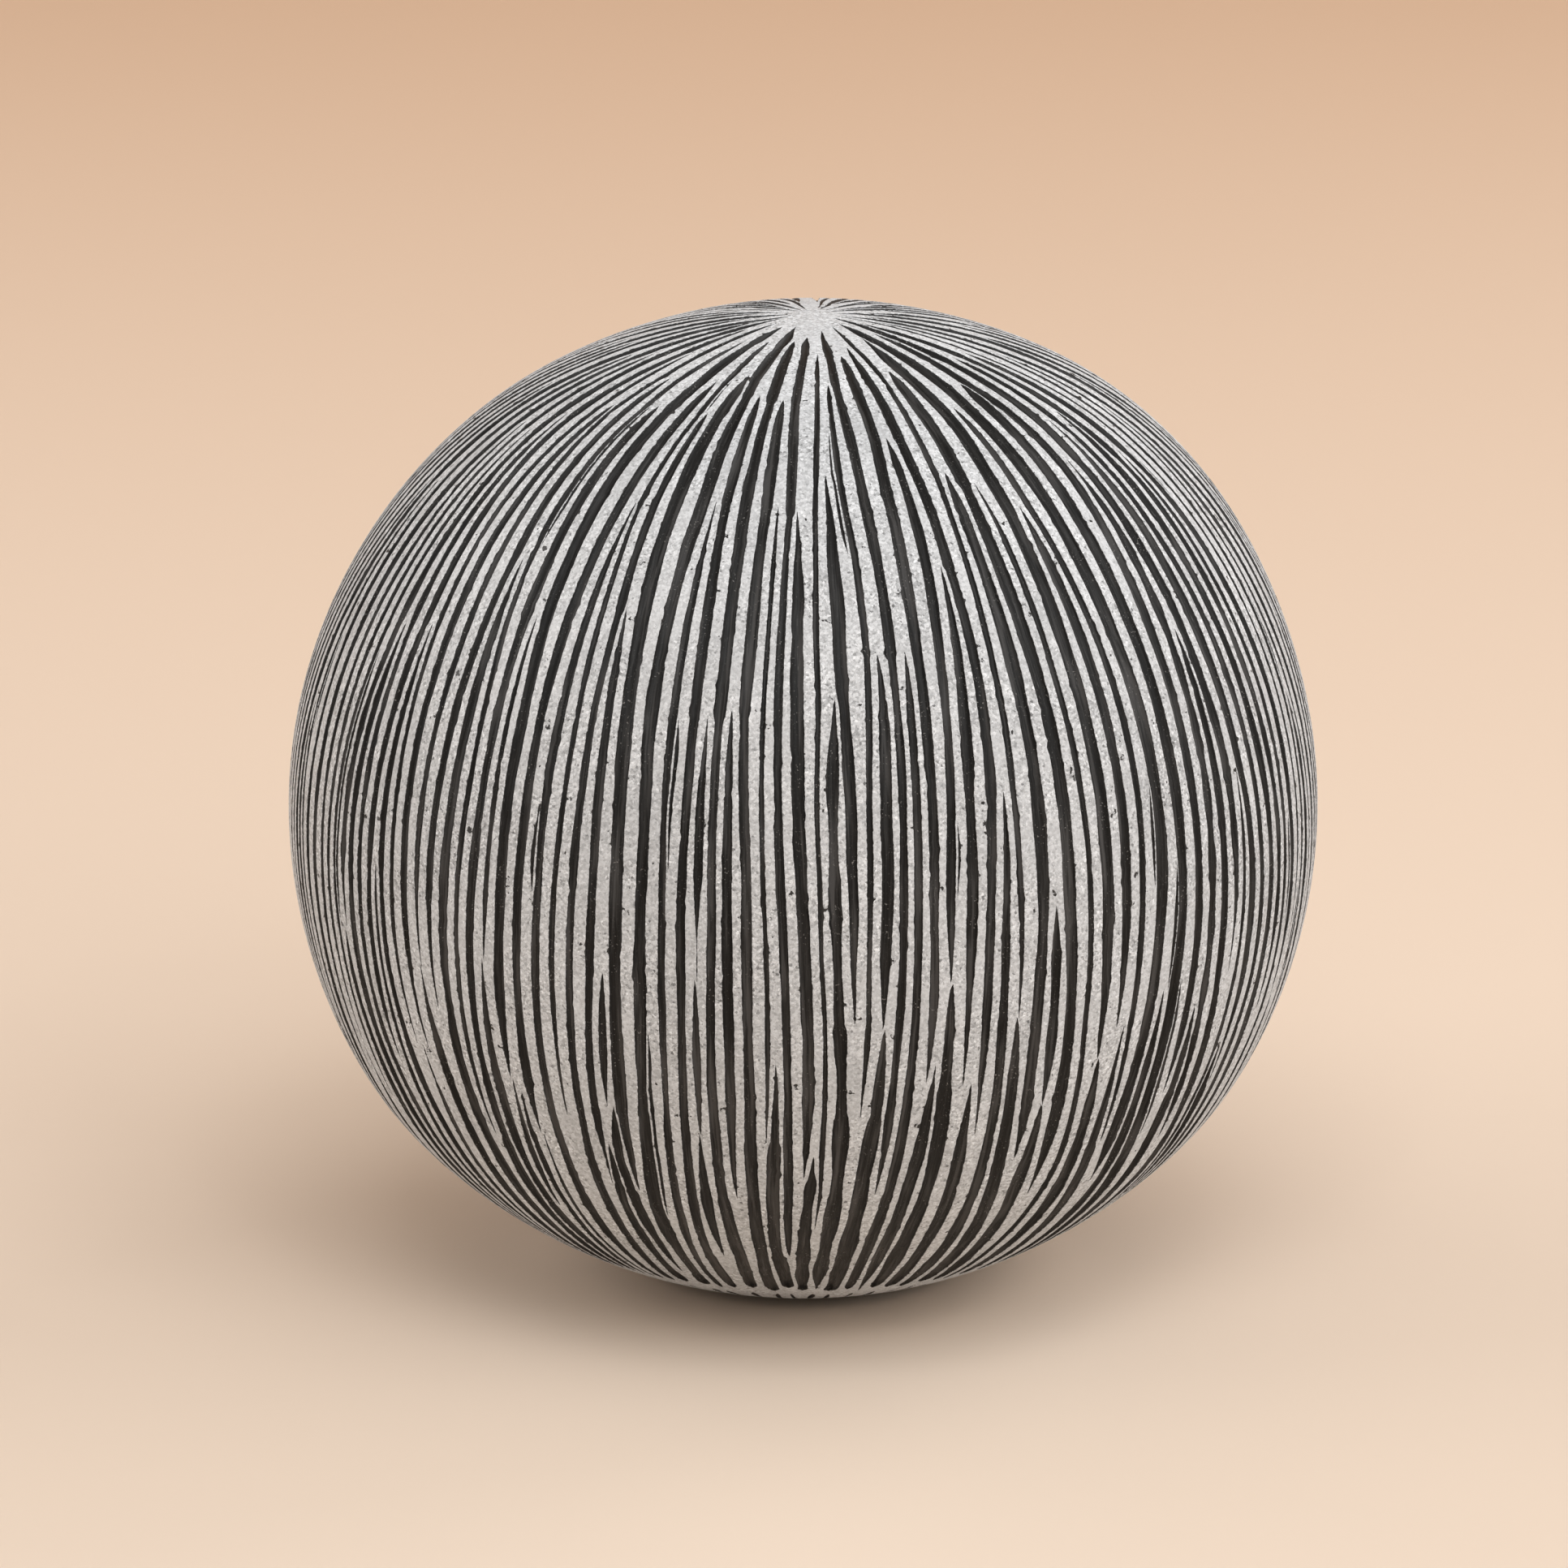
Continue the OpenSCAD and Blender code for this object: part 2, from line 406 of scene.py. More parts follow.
def place(phi, s, h, tilt):
    """Points in mm and unit normals for map points; tilt leans the normal sideways, towards larger angles."""
    d = direction(phi, s)
    p = d * radius_to(d)[:, None]
    a = np.where(abs(d[:, 2:3]) < 0.8, [[0.0, 0.0, 1.0]], [[1.0, 0.0, 0.0]])
    e1 = np.cross(a, d)
    e1 /= np.linalg.norm(e1, axis=1)[:, None]
    e2 = np.cross(d, e1)
    eps = 2e-3
    q1, q2 = d + eps * e1, d + eps * e2
    q1 /= np.linalg.norm(q1, axis=1)[:, None]
    q2 /= np.linalg.norm(q2, axis=1)[:, None]
    n = np.cross(q1 * radius_to(q1)[:, None] - p, q2 * radius_to(q2)[:, None] - p)
    n /= np.linalg.norm(n, axis=1)[:, None]
    n *= np.sign(np.sum(n * d, 1))[:, None]
    r = np.maximum(np.interp(s, ARC, RR), 0.5)
    side = direction(phi + 0.2 / r, s) - direction(phi - 0.2 / r, s)
    side -= n * np.sum(side * n, 1)[:, None]
    side /= np.maximum(np.linalg.norm(side, axis=1), 1e-12)[:, None]
    out = n * np.cos(tilt)[:, None] + side * np.sin(tilt)[:, None]
    return p + n * h[:, None], out


class Skin:
    """Vertices on the map, then faces, then one mesh."""

    def __init__(self):
        self.map, self.faces = [], []
        self.free, self.free_at, self.free_n = [], [], []   # turned faces, which aren't on the map

    def v(self, phi, s, h, tilt=0.0, a=0.0, b=0.0, c=0.0):
        self.map.append((phi, s, h, tilt, a, b, c))
        return len(self.map) - 1

    def solid(self, p, n):
        self.free.append(len(self.map))
        self.free_at.append(p)
        self.free_n.append(n)
        return self.v(0.0, 1.0, 0.0)

    def face(self, *ids):
        out = [ids[k] for k in range(len(ids)) if ids[k] != ids[k - 1]]
        if len(out) > 2:
            self.faces.append(tuple(out))

    def strip(self, a, b, flip=False):
        """Joins chain a to chain b below it. Both run by increasing angle: lists of (vertex, angle)."""
        if len(a) == len(b) and len(a) > 1:
            for k in range(len(a) - 1):
                ids = (a[k][0], b[k][0], b[k + 1][0], a[k + 1][0])
                self.face(*(ids[::-1] if flip else ids))
            return
        i = j = 0
        span = lambda c: max(c[-1][1] - c[0][1], 1e-12)
        sa, sb = span(a), span(b)
        while i < len(a) - 1 or j < len(b) - 1:
            ta = (a[i + 1][1] - a[0][1]) / sa if i < len(a) - 1 else 9
            tb = (b[j + 1][1] - b[0][1]) / sb if j < len(b) - 1 else 9
            if len(a) > 1 and ta <= tb:
                ids = (a[i][0], b[j][0], a[i + 1][0])
                i += 1
            else:
                ids = (a[i][0], b[j][0], b[j + 1][0])
                j += 1
            self.face(*(ids[::-1] if flip else ids))


def lanes(j, up):
    """The strokes cut in row j that go on into the next row (up False) or came from the one before (up True)."""
    if up:
        return [i for i in ORDERS[j] if i == 0 or FIRST[i] < j]
    return [i for i in ORDERS[j] if i == 0 or LAST[i] > j]


def chains(row, keep, field, inner):
    """The row's lands, split at the strokes in keep: lists of (vertex, angle) from a right edge to a left edge."""
    out, cur = [], None
    for q, i in enumerate(row["order"]):
        l, r = row[field][q]
        if i in keep:
            if cur is not None:
                cur.append((l, row["lo"][q]))
                out.append(cur)
            cur = [(r, row["hi"][q])]
        else:
            cur.append((l, row["lo"][q]))
            if r != l:
                cur.append((r, row["hi"][q]))
        cur += row[inner][q]
    l = row[field][0][0]
    cur.append((l, row["lo"][0] + 2 * math.pi))
    out.append(cur)
    return out


def row_shell(j, extra):
    order = ORDERS[j]
    lo = [CUT_L[i, j] for i in order]
    hi = [CUT_R[i, j] for i in order]
    nxt = lo[1:] + [lo[0] + 2 * math.pi]
    return {"order": order, "lo": lo, "hi": hi, "nxt": nxt, "inner": [], "under": [], **{k: [] for k in extra}}


def slip_rows(skin, j0, j1):
    """The coat: lands left between the strokes, with a soft broken edge, a cut wall and a back."""
    rows = []
    for j in range(j0, j1 + 1):
        s, r = ROWS[j], max(RAD[j], 1e-3)
        row = row_shell(j, ("top", "back"))
        for q, i in enumerate(row["order"]):
            a, b = row["lo"][q], row["hi"][q]
            if i == 0:
                t = skin.v(a, s, 0.0, 0, 9)
                k = skin.v(a, s, -COAT - 0.01, math.pi)
                row["top"].append((t, t))
                row["back"].append((k, k))
            elif a == b:
                t = skin.v(a, s, -0.05, 0, 0)
                k = skin.v(a, s, -COAT - 0.01, 0, 0, 1)
                row["top"].append((t, t))
                row["back"].append((k, k))
            else:
                row["top"].append((skin.v(a, s, -EDGE, 0.72, 0), skin.v(b, s, -EDGE, -0.72, 0)))
                row["back"].append((skin.v(a, s, -COAT - 0.01, 1.35, 0, 1), skin.v(b, s, -COAT - 0.01, -1.35, 0, 1)))
            # the land to the right of it
            width = (row["nxt"][q] - b) * r
            inset = min(0.2, 0.3 * width)
            if j == 0 or width < 1e-6:
                row["inner"].append([])
                row["under"].append([])
                continue
            more = int(width / 3.0)
            row["under"].append([(skin.v(b + width * (k + 1) / (more + 1) / r, s, -COAT - 0.01, math.pi),
                                  b + width * (k + 1) / (more + 1) / r) for k in range(more)])
            more = int(max(0.0, width - 2.6) / 1.5)
            spots = [inset] + [inset + (width - 2 * inset) * (k + 1) / (more + 1) for k in range(more)] + [width - inset]
            row["inner"].append([(skin.v(b + w / r, s, 0.0, 0, min(w, width - w)), b + w / r) for w in spots])
        rows.append(row)
    for q in range(len(rows) - 1):
        up, down, j = rows[q], rows[q + 1], j0 + q
        keep = set(lanes(j, False)) & set(lanes(j + 1, True)) | {0}
        for a, b in zip(chains(up, keep, "top", "inner"), chains(down, keep, "top", "inner")):
            skin.strip(a, b)
        for a, b in zip(chains(up, keep, "back", "under"), chains(down, keep, "back", "under")):
            skin.strip(a, b, True)
        at_up = {i: k for k, i in enumerate(up["order"])}
        at_down = {i: k for k, i in enumerate(down["order"])}
        for i in keep - {0}:
            (tl, tr), (kl, kr) = up["top"][at_up[i]], up["back"][at_up[i]]
            (dl, dr), (ml, mr) = down["top"][at_down[i]], down["back"][at_down[i]]
            skin.face(ml, kl, tl, dl)
            skin.face(mr, dr, tr, kr)
    for q, flip in ((0, True), (-1, False)):   # close the cut ends
        j = j0 if q == 0 else j1
        if j == 0:
            continue
        keep = set(ORDERS[j])
        for a, b in zip(chains(rows[q], keep, "top", "inner"), chains(rows[q], keep, "back", "under")):
            skin.strip(a, b, flip)


def clay_rows(skin, j0, j1):
    """The clay's outer face: a rounded groove under each stroke, smooth under the coat."""
    rows = []
    for j in range(j0, j1 + 1):
        s, r = ROWS[j], max(RAD[j], 1e-3)
        row = row_shell(j, ("edge", "groove"))
        for q, i in enumerate(row["order"]):
            a, b = row["lo"][q], row["hi"][q]
            if a == b:
                t = skin.v(a, s, -COAT, 0, 0, s, i)
                row["edge"].append((t, t))
                row["groove"].append([(t, a)])
            else:
                w = (b - a) * r
                deep = DEEP * w * DEPTH[i, j]
                g = []
                for f, d, lean in GOUGE:
                    x = (a + b) / 2 + f * (b - a) / 2
                    g.append((skin.v(x, s, -COAT - deep * d, lean, f * w / 2, s, i), x))
                row["edge"].append((g[0][0], g[-1][0]))
                row["groove"].append(g)
            width = (row["nxt"][q] - b) * r
            more = int(width / 3.0)
            if j == 0:
                more = 0
            row["inner"].append([(skin.v(b + width * (k + 1) / (more + 1) / r, s, -COAT, 0, 0, s, 0),
                                  b + width * (k + 1) / (more + 1) / r) for k in range(more)])
        rows.append(row)
    for q in range(len(rows) - 1):
        up, down, j = rows[q], rows[q + 1], j0 + q
        keep = set(lanes(j, False)) & set(lanes(j + 1, True)) | {0}
        for a, b in zip(chains(up, keep, "edge", "inner"), chains(down, keep, "edge", "inner")):
            skin.strip(a, b)
        at_up = {i: k for k, i in enumerate(up["order"])}
        at_down = {i: k for k, i in enumerate(down["order"])}
        for i in keep - {0}:
            skin.strip(up["groove"][at_up[i]], down["groove"][at_down[i]])

    def ring(row):
        out = []
        for q in range(len(row["order"])):
            out += row["groove"][q] + row["inner"][q]
        return out + [(out[0][0], out[0][1] + 2 * math.pi)]

    return ring(rows[0]), ring(rows[-1])


def lathe(skin, start, profile, sides, end=None):
    """Carries a closed ring of vertices on through turned rings at each (radius, height) of the profile,
    to another ring or to a point. Heights are above the belt, mm. The turned rings next to the two given ones
    take over their angles, so that the wall drops straight in behind each groove."""
    prof = np.array(profile, float)
    tang = np.gradient(prof, axis=0)
    tang /= np.maximum(np.hypot(tang[:, 0], tang[:, 1]), 1e-9)[:, None]
    nr, nz = -tang[:, 1], tang[:, 0]
    prev = start
    a0 = start[0][1]
    for k, (r, z) in enumerate(prof):
        if r < 1e-6:
            ids = [skin.solid((0, 0, z), (0, 0, nz[k] / max(abs(nz[k]), 1e-9)))]
            cur = [(ids[0], a0)]
        else:
            like = start if k == 0 else (end if k == len(prof) - 1 else None)
            turns = [a for _, a in like] if like else [a0 + 2 * math.pi * m / sides for m in range(sides + 1)]
            cur = []
            for a in turns[:-1]:
                cur.append((skin.solid((r * math.sin(a), -r * math.cos(a), z),
                                       (nr[k] * math.sin(a), -nr[k] * math.cos(a), nz[k])), a))
            cur.append((cur[0][0], turns[-1]))
        skin.strip(prev, cur)
        prev = cur
    if end is not None:
        skin.strip(prev, end)


def emit(skin, name, names, material, body="root", lift=True):
    """Writes a skin as a mesh object in metres, with its own normals and the shader's attributes."""
    m = np.array(skin.map)
    p, n = place(m[:, 0], m[:, 1], m[:, 2], m[:, 3])
    if skin.free:
        p[skin.free], n[skin.free] = np.array(skin.free_at), np.array(skin.free_n)
    n /= np.maximum(np.linalg.norm(n, axis=1), 1e-12)[:, None]
    used = np.zeros(len(p), bool)
    used[np.concatenate([np.array(f) for f in skin.faces])] = True
    new = np.cumsum(used) - 1
    faces = [tuple(int(new[i]) for i in f) for f in skin.faces]
    p, n, m = p[used], n[used], m[used]
    p = p + [0, 0, BELT]
    mesh = bpy.data.meshes.new(name)
    mesh.from_pydata((p * 0.001).tolist(), [], faces)
    mesh.polygons.foreach_set("use_smooth", np.ones(len(mesh.polygons), bool))
    for k, key in enumerate(names):
        if key:
            mesh.attributes.new(key, "FLOAT", "POINT").data.foreach_set("value", m[:, 4 + k].astype(np.float32))
    mesh.update()
    mesh.normals_split_custom_set_from_vertices(n.tolist())
    mesh.materials.append(material)
    o = bpy.data.objects.new(name, mesh)
    bpy.context.scene.collection.objects.link(o)
    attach(o, body)
    return o


# ---- materials -------------------------------------------------------------------------------------
class Nodes:
    def __init__(self, name):
        self.m = bpy.data.materials.new(name)
        self.m.use_nodes = True
        self.t = self.m.node_tree
        self.t.nodes.clear()
        self.out = self.t.nodes.new("ShaderNodeOutputMaterial")

    def add(self, kind, **fields):
        n = self.t.nodes.new("ShaderNode" + kind)
        for k, v in fields.items():
            setattr(n, k, v)
        return n

    def link(self, a, b):
        self.t.links.new(a, b)

    def put(self, node, key, value):
        s = node.inputs[key]
        if isinstance(value, bpy.types.NodeSocket):
            self.link(value, s)
        else:
            s.default_value = value

    def math(self, op, a, b=0.0, c=0.0, clamp=False):
        n = self.add("Math", operation=op, use_clamp=clamp)
        for k, v in enumerate((a, b, c)):
            self.put(n, k, v)
        return n.outputs[0]

    def ramp(self, x, a, b, to_a=0.0, to_b=1.0, smooth=False):
        n = self.add("MapRange", clamp=True, interpolation_type="SMOOTHSTEP" if smooth else "LINEAR")
        for k, v in (("Value", x), ("From Min", a), ("From Max", b), ("To Min", to_a), ("To Max", to_b)):
            self.put(n, k, v)
        return n.outputs["Result"]

    def mix(self, f, a, b):
        n = self.add("Mix", data_type="RGBA", blend_type="MIX")
        self.put(n, 0, f)
        for k, v in ((6, a), (7, b)):
            self.put(n, k, v if isinstance(v, bpy.types.NodeSocket) else (*v, 1.0))
        return n.outputs[2]

    def noise(self, vec, scale, detail=2.0, rough=0.5, distortion=0.0):
        n = self.add("TexNoise")
        self.put(n, "Vector", vec)
        for k, v in (("Scale", scale), ("Detail", detail), ("Roughness", rough), ("Distortion", distortion)):
            self.put(n, k, v)
        return n.outputs["Fac"]

    def voronoi(self, vec, scale, feature="F1", randomness=1.0):
        n = self.add("TexVoronoi", feature=feature)
        self.put(n, "Vector", vec)
        self.put(n, "Scale", scale)
        self.put(n, "Randomness", randomness)
        return n

    def attr(self, name):
        return self.add("Attribute", attribute_name=name).outputs["Fac"]

    def vector(self, x, y, z):
        n = self.add("CombineXYZ")
        for k, v in enumerate((x, y, z)):
            self.put(n, k, v)
        return n.outputs[0]

    def bump(self, height, strength, distance, normal=None):
        n = self.add("Bump")
        self.put(n, "Height", height)
        self.put(n, "Strength", strength)
        self.put(n, "Distance", distance)
        if normal is not None:
            self.link(normal, n.inputs["Normal"])
        return n.outputs[0]

    def surface(self, color, rough, normal=None, specular=0.5, **extra):
        n = self.add("BsdfPrincipled")
        self.put(n, "Base Color", color if isinstance(color, bpy.types.NodeSocket) else (*color, 1.0))
        self.put(n, "Roughness", rough)
        n.inputs["Specular IOR Level"].default_value = specular
        for k, v in extra.items():
            n.inputs[k.replace("_", " ")].default_value = v
        if normal is not None:
            self.link(normal, n.inputs["Normal"])
        self.link(n.outputs[0], self.out.inputs["Surface"])
        return self.m


def slip_material():
    """Warm grey slip full of fine sand: bright and dark grains, faint cloudiness, edges broken by the tool."""
    g = Nodes("sandy_slip")
    at = g.add("TexCoord").outputs["Object"]
    grains = g.voronoi(at, 2250)
    tone = g.add("SeparateColor")
    g.link(grains.outputs["Color"], tone.inputs[0])
    fine = g.noise(at, 3900, 2, 0.6, 1.3)
    coarse = g.noise(at, 1250, 3, 0.66)
    cloud = g.noise(at, 60, 4, 0.6)
    patch = g.noise(at, 13, 2, 0.5)
    sandy = g.ramp(g.noise(at, 85, 2, 0.5), 0.36, 0.62, 0.45, 1.0)      # some lands are smoother than others
    v = g.math("MULTIPLY", g.math("SUBTRACT", tone.outputs[0], 0.5), 0.42)
    v = g.math("ADD", v, g.ramp(tone.outputs[1], 0.9, 1.0, 0.0, 0.30))   # bright quartz
    v = g.math("SUBTRACT", v, g.ramp(tone.outputs[2], 0.9, 1.0, 0.0, 0.34))
    v = g.math("MULTIPLY_ADD", g.math("SUBTRACT", coarse, 0.5), 0.65, v)
    v = g.math("MULTIPLY_ADD", g.math("SUBTRACT", fine, 0.5), 0.8, v)
    v = g.math("MULTIPLY_ADD", v, g.math("MULTIPLY", sandy, 0.85), 0.552)
    v = g.math("MULTIPLY_ADD", g.math("SUBTRACT", cloud, 0.5), 0.26, v)
    v = g.math("MULTIPLY_ADD", g.math("SUBTRACT", patch, 0.5), 0.20, v)
    high = g.add("SeparateXYZ")
    g.link(at, high.inputs[0])
    # painted light: the slip is painted brighter towards the top of the ball, up to about a fifth brighter at the crown
    v = g.math("MULTIPLY", v, g.ramp(high.outputs[2], 0.172, 0.1905, 1.0, 1.07, True))
    v = g.math("MULTIPLY", v, g.ramp(high.outputs[2], 0.115, 0.172, 1.0, 1.13, True))    # painted light: brighter still towards the top
    v = g.math("MINIMUM", g.math("MAXIMUM", v, 0.16), 0.93)
    # dark pits and iron specks
    spots = g.voronoi(at, 190)
    pick = g.add("SeparateColor")
    g.link(spots.outputs["Color"], pick.inputs[0])
    near = g.math("MULTIPLY_ADD", g.math("SUBTRACT", g.noise(at, 800, 2, 0.6), 0.5), 0.42, spots.outputs["Distance"])
    size = g.ramp(pick.outputs[0], 0.91, 1.0, 0.0, 0.11)
    speck = g.ramp(g.math("SUBTRACT", near, size), 0.0, 0.014, 1.0, 0.0)
    speck = g.math("MULTIPLY", speck, g.math("GREATER_THAN", pick.outputs[0], 0.91))
    # the tool breaks the edges of the lands
    edge = g.attr("edge")
    bite = g.math("MULTIPLY_ADD", g.noise(at, 1100, 3, 0.66), 0.34, -0.140)
    bite = g.math("ADD", bite, g.ramp(g.noise(at, 420, 2, 0.5), 0.62, 0.72, 0.0, 0.17))     # and nips bigger bits off here and there
    chip = g.ramp(g.math("SUBTRACT", edge, bite), -0.008, 0.008, 1.0, 0.0)
    # painted shade: the coat's cut wall is painted nearly as dark as the clay, darker the deeper it runs into the
    # groove
    wall = g.ramp(g.attr("wall"), 0.05, 0.4, 0.0, 0.94)
    # real specks and tool chips, together with the painted shade on the cut wall
    dark = g.math("MAXIMUM", g.math("MAXIMUM", g.math("MULTIPLY", speck, 0.9), chip), wall)
    # painted light: the slip is painted bluer all over and bluer still towards the bottom, to cancel the warm bounce
    # light from the floor and the warm room light
    painted_counter_bounce_tint = g.mix(g.ramp(high.outputs[2], 0.02, 0.13, 0.0, 1.0, True), (0.885, 0.938, 1.0), (0.940, 0.966, 1.0))
    shade = g.add("Mix", data_type="RGBA", blend_type="MULTIPLY")
    g.put(shade, 0, 1.0)
    rgb = g.add("CombineColor")
    for k in range(3):
        g.link(v, rgb.inputs[k])
    g.link(painted_counter_bounce_tint, shade.inputs[6])
    g.link(rgb.outputs[0], shade.inputs[7])
    color = g.mix(dark, shade.outputs[2], (0.027, 0.0265, 0.0262))
    rough = g.ramp(tone.outputs[1], 0.0, 1.0, 0.42, 0.9)
    height = g.math("MULTIPLY_ADD", grains.outputs["Distance"], -0.7, g.math("MULTIPLY", coarse, 0.7))
    height = g.math("MULTIPLY_ADD", fine, 0.5, height)
    height = g.math("MULTIPLY", height, sandy)
    height = g.math("MULTIPLY_ADD", dark, -0.8, height)
    return g.surface(color, rough, g.bump(height, 0.6, 0.00013), specular=0.4)


def clay_material(name, base, streak):
    """Dark clay, burnished along each stroke by the loop tool, with painted sheen and painted shade in wide bands along
    each cut.
    """
    g = Nodes(name)
    at = g.add("TexCoord").outputs["Object"]
    lat, s, which = g.attr("lat"), g.attr("along"), g.attr("stroke")
    run = g.vector(g.math("MULTIPLY_ADD", which, 7.31, g.math("MULTIPLY", lat, 3.2)),
                   g.math("MULTIPLY", s, 0.10), g.math("MULTIPLY", which, 3.7))
    lines = g.noise(run, 1.0, 4, 0.6)
    fine = g.noise(run, 3.1, 2, 0.5)
    body = g.noise(at, 300, 3, 0.6)
    grit = g.noise(at, 2600, 2, 0.55)
    f = g.math("MULTIPLY_ADD", g.math("SUBTRACT", lines, 0.5), 3.4, 0.42, clamp=True)
    color = g.mix(f, tuple(c * (1 - streak) for c in base), tuple(c * (1 + streak) for c in base))
    color = g.mix(g.ramp(body, 0.52, 0.72, 0.0, 0.35), color, tuple(c * 1.7 for c in base))
    # painted sheen and shade: wide paler bands stand in for light caught on one side of the cut, darker stretches for
    # its shaded side
    sweep = g.vector(g.math("MULTIPLY_ADD", which, 11.7, g.math("MULTIPLY", lat, 0.80)),
                     g.math("MULTIPLY", s, 0.040), g.math("MULTIPLY", which, 5.3))
    painted_sheen_and_shade = g.noise(sweep, 1.0, 3, 0.55)
    color = g.mix(g.ramp(painted_sheen_and_shade, 0.49, 0.67, 0.0, 0.88, True), color, tuple(c * 3.7 for c in base))
    color = g.mix(g.ramp(painted_sheen_and_shade, 0.48, 0.34, 0.0, 0.75, True), color, tuple(c * 0.30 for c in base))
    # fine pale scratches along the cut, dragged by sand grains
    drag = g.noise(g.vector(g.math("MULTIPLY_ADD", which, 5.1, g.math("MULTIPLY", lat, 7.5)),
                            g.math("MULTIPLY", s, 0.33), g.math("MULTIPLY", which, 1.7)), 1.0, 2, 0.5)
    drag = g.math("MULTIPLY", g.ramp(drag, 0.68, 0.76), g.ramp(g.noise(at, 75, 2, 0.5), 0.50, 0.62, 0.0, 0.55))
    color = g.mix(drag, color, (0.23, 0.225, 0.22))
    # slip dust and crumbs left in the cut
    dust = g.math("MULTIPLY", g.ramp(grit, 0.645, 0.70), g.ramp(g.noise(at, 140, 2, 0.5), 0.48, 0.66, 0.08, 0.85))
    color = g.mix(dust, color, (0.30, 0.29, 0.28))
    rough = g.ramp(fine, 0.3, 0.7, 0.40, 0.60)
    height = g.math("MULTIPLY_ADD", fine, 0.4, lines)
    height = g.math("MULTIPLY_ADD", grit, 0.15, height)
    return g.surface(color, rough, g.bump(height, 0.5, 0.00008), specular=0.22)


def felt_material():
    g = Nodes("grey_felt")
    at = g.add("TexCoord").outputs["Object"]
    hair = g.noise(at, 2600, 4, 0.7, 1.5)
    blot = g.noise(at, 350, 3, 0.6)
    color = g.mix(hair, (0.10, 0.10, 0.10), (0.30, 0.30, 0.295))
    color = g.mix(g.ramp(blot, 0.45, 0.7, 0.0, 0.35), color, (0.16, 0.155, 0.15))
    return g.surface(color, g.ramp(hair, 0.3, 0.7, 0.85, 1.0), g.bump(hair, 0.9, 0.0003), specular=0.1,
                     Sheen_Weight=0.4, Sheen_Roughness=0.6)


# ---- build it --------------------------------------------------------------------------------------
COAT, EDGE, DEEP = 0.25, 0.06, 0.30
GOUGE = ((-1, 0, 1.02), (-0.64, 0.82, 0.50), (0, 1, 0), (0.64, 0.82, -0.50), (1, 0, -1.02))   # across, depth, lean
POS, WID, FIRST, LAST = grow(35)
CUT_L, CUT_R, ORDERS = edges(11, POS, WID, FIRST, LAST)
_rng = np.random.default_rng(5)
DEPTH = np.array([_rng.uniform(0.8, 1.2) + wave(_rng, ROWS, (17, 40), 0.06) for _ in range(len(POS))])
J_UP, J_BELT, J_DOWN = CUTS
J_END = len(ROWS) - 1

SLIP = slip_material()
CLAY = clay_material("dark_stoneware", (0.0190, 0.0186, 0.0186), 0.74)
SEAM = clay_material("seam_clay", (0.0192, 0.0187, 0.0187), 0.72)
FELT = felt_material()

skin = Skin()
slip_rows(skin, 0, J_BELT)
coat_upper = emit(skin, "slip_coat_upper", ("edge", "wall", None), SLIP)
skin = Skin()
slip_rows(skin, J_BELT, J_END)
coat_lower = emit(skin, "slip_coat_lower", ("edge", "wall", None), SLIP)
for o in (coat_upper, coat_lower):
    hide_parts("slip_coat")


def cavity(t):
    c = np.cos(t)
    hit = lambda zc, r: zc * c + np.sqrt(r * r - zc * zc * (1 - c * c))
    rho = np.minimum(np.minimum(np.full_like(t, 91.5), hit(CROWN_Z, CROWN_R - 8.5)), hit(BASE_Z, BASE_R - 8.5))
    return list(zip(rho * np.sin(t), rho * c))


skin = Skin()
_, ring = clay_rows(skin, 0, J_UP)
t = np.radians(np.linspace(89.6, 0, 40))
inside = cavity(t)
inside[-1] = (0.0, inside[-1][1])
lathe(skin, ring, [(98.0, 2.25), (95.7, 0.62), (95.5, 0.45), (95.4, 0.27), (95.2, 0.25), (91.8, 0.25), (91.5, 0.5)] + inside[1:], 192)
upper = emit(skin, "upper_shell_clay", ("lat", "along", "stroke"), CLAY)
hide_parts("upper_shell")

skin = Skin()
first_ring, ring = clay_rows(skin, J_UP, J_DOWN)
lathe(skin, ring, [(98.0, -2.25), (95.7, -0.62), (95.5, -0.45), (95.5, 0.45), (95.7, 0.62), (98.0, 2.25)], 192, first_ring)
band = emit(skin, "seam_coil_band", ("lat", "along", "stroke"), SEAM)
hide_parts("seam_coil")

skin = Skin()
first_ring, ring = clay_rows(skin, J_DOWN, J_END)
t = np.arccos(-80.2 / 91.5)
lo = math.atan2(35.3, -80.0)
t = np.linspace(lo - 0.006, math.radians(90.4), 40)
foot = [(31.0, -90.72), (29.9, -91.0), (28.9, -91.17), (28.2, -91.2), (19.6, -91.2), (19.2, -91.05), (19.0, -90.7),
        (19.0, -88.9), (18.85, -88.4), (18.4, -88.2), (4.0, -88.2), (3.3, -88.05), (3.0, -87.5), (3.0, -80.9),
        (3.15, -80.4), (3.6, -80.2), (34.6, -80.2)]
lathe(skin, ring, foot + cavity(t)[:-1] + [(91.5, -0.5), (91.8, -0.25), (95.2, -0.25), (95.4, -0.27), (95.5, -0.45),
                                           (95.7, -0.62), (98.0, -2.25)], 192, first_ring)
lower = emit(skin, "lower_shell_clay", ("lat", "along", "stroke"), CLAY)
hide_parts("lower_shell")

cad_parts["joining_slip"].data.materials.clear()
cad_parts["joining_slip"].data.materials.append(SEAM)


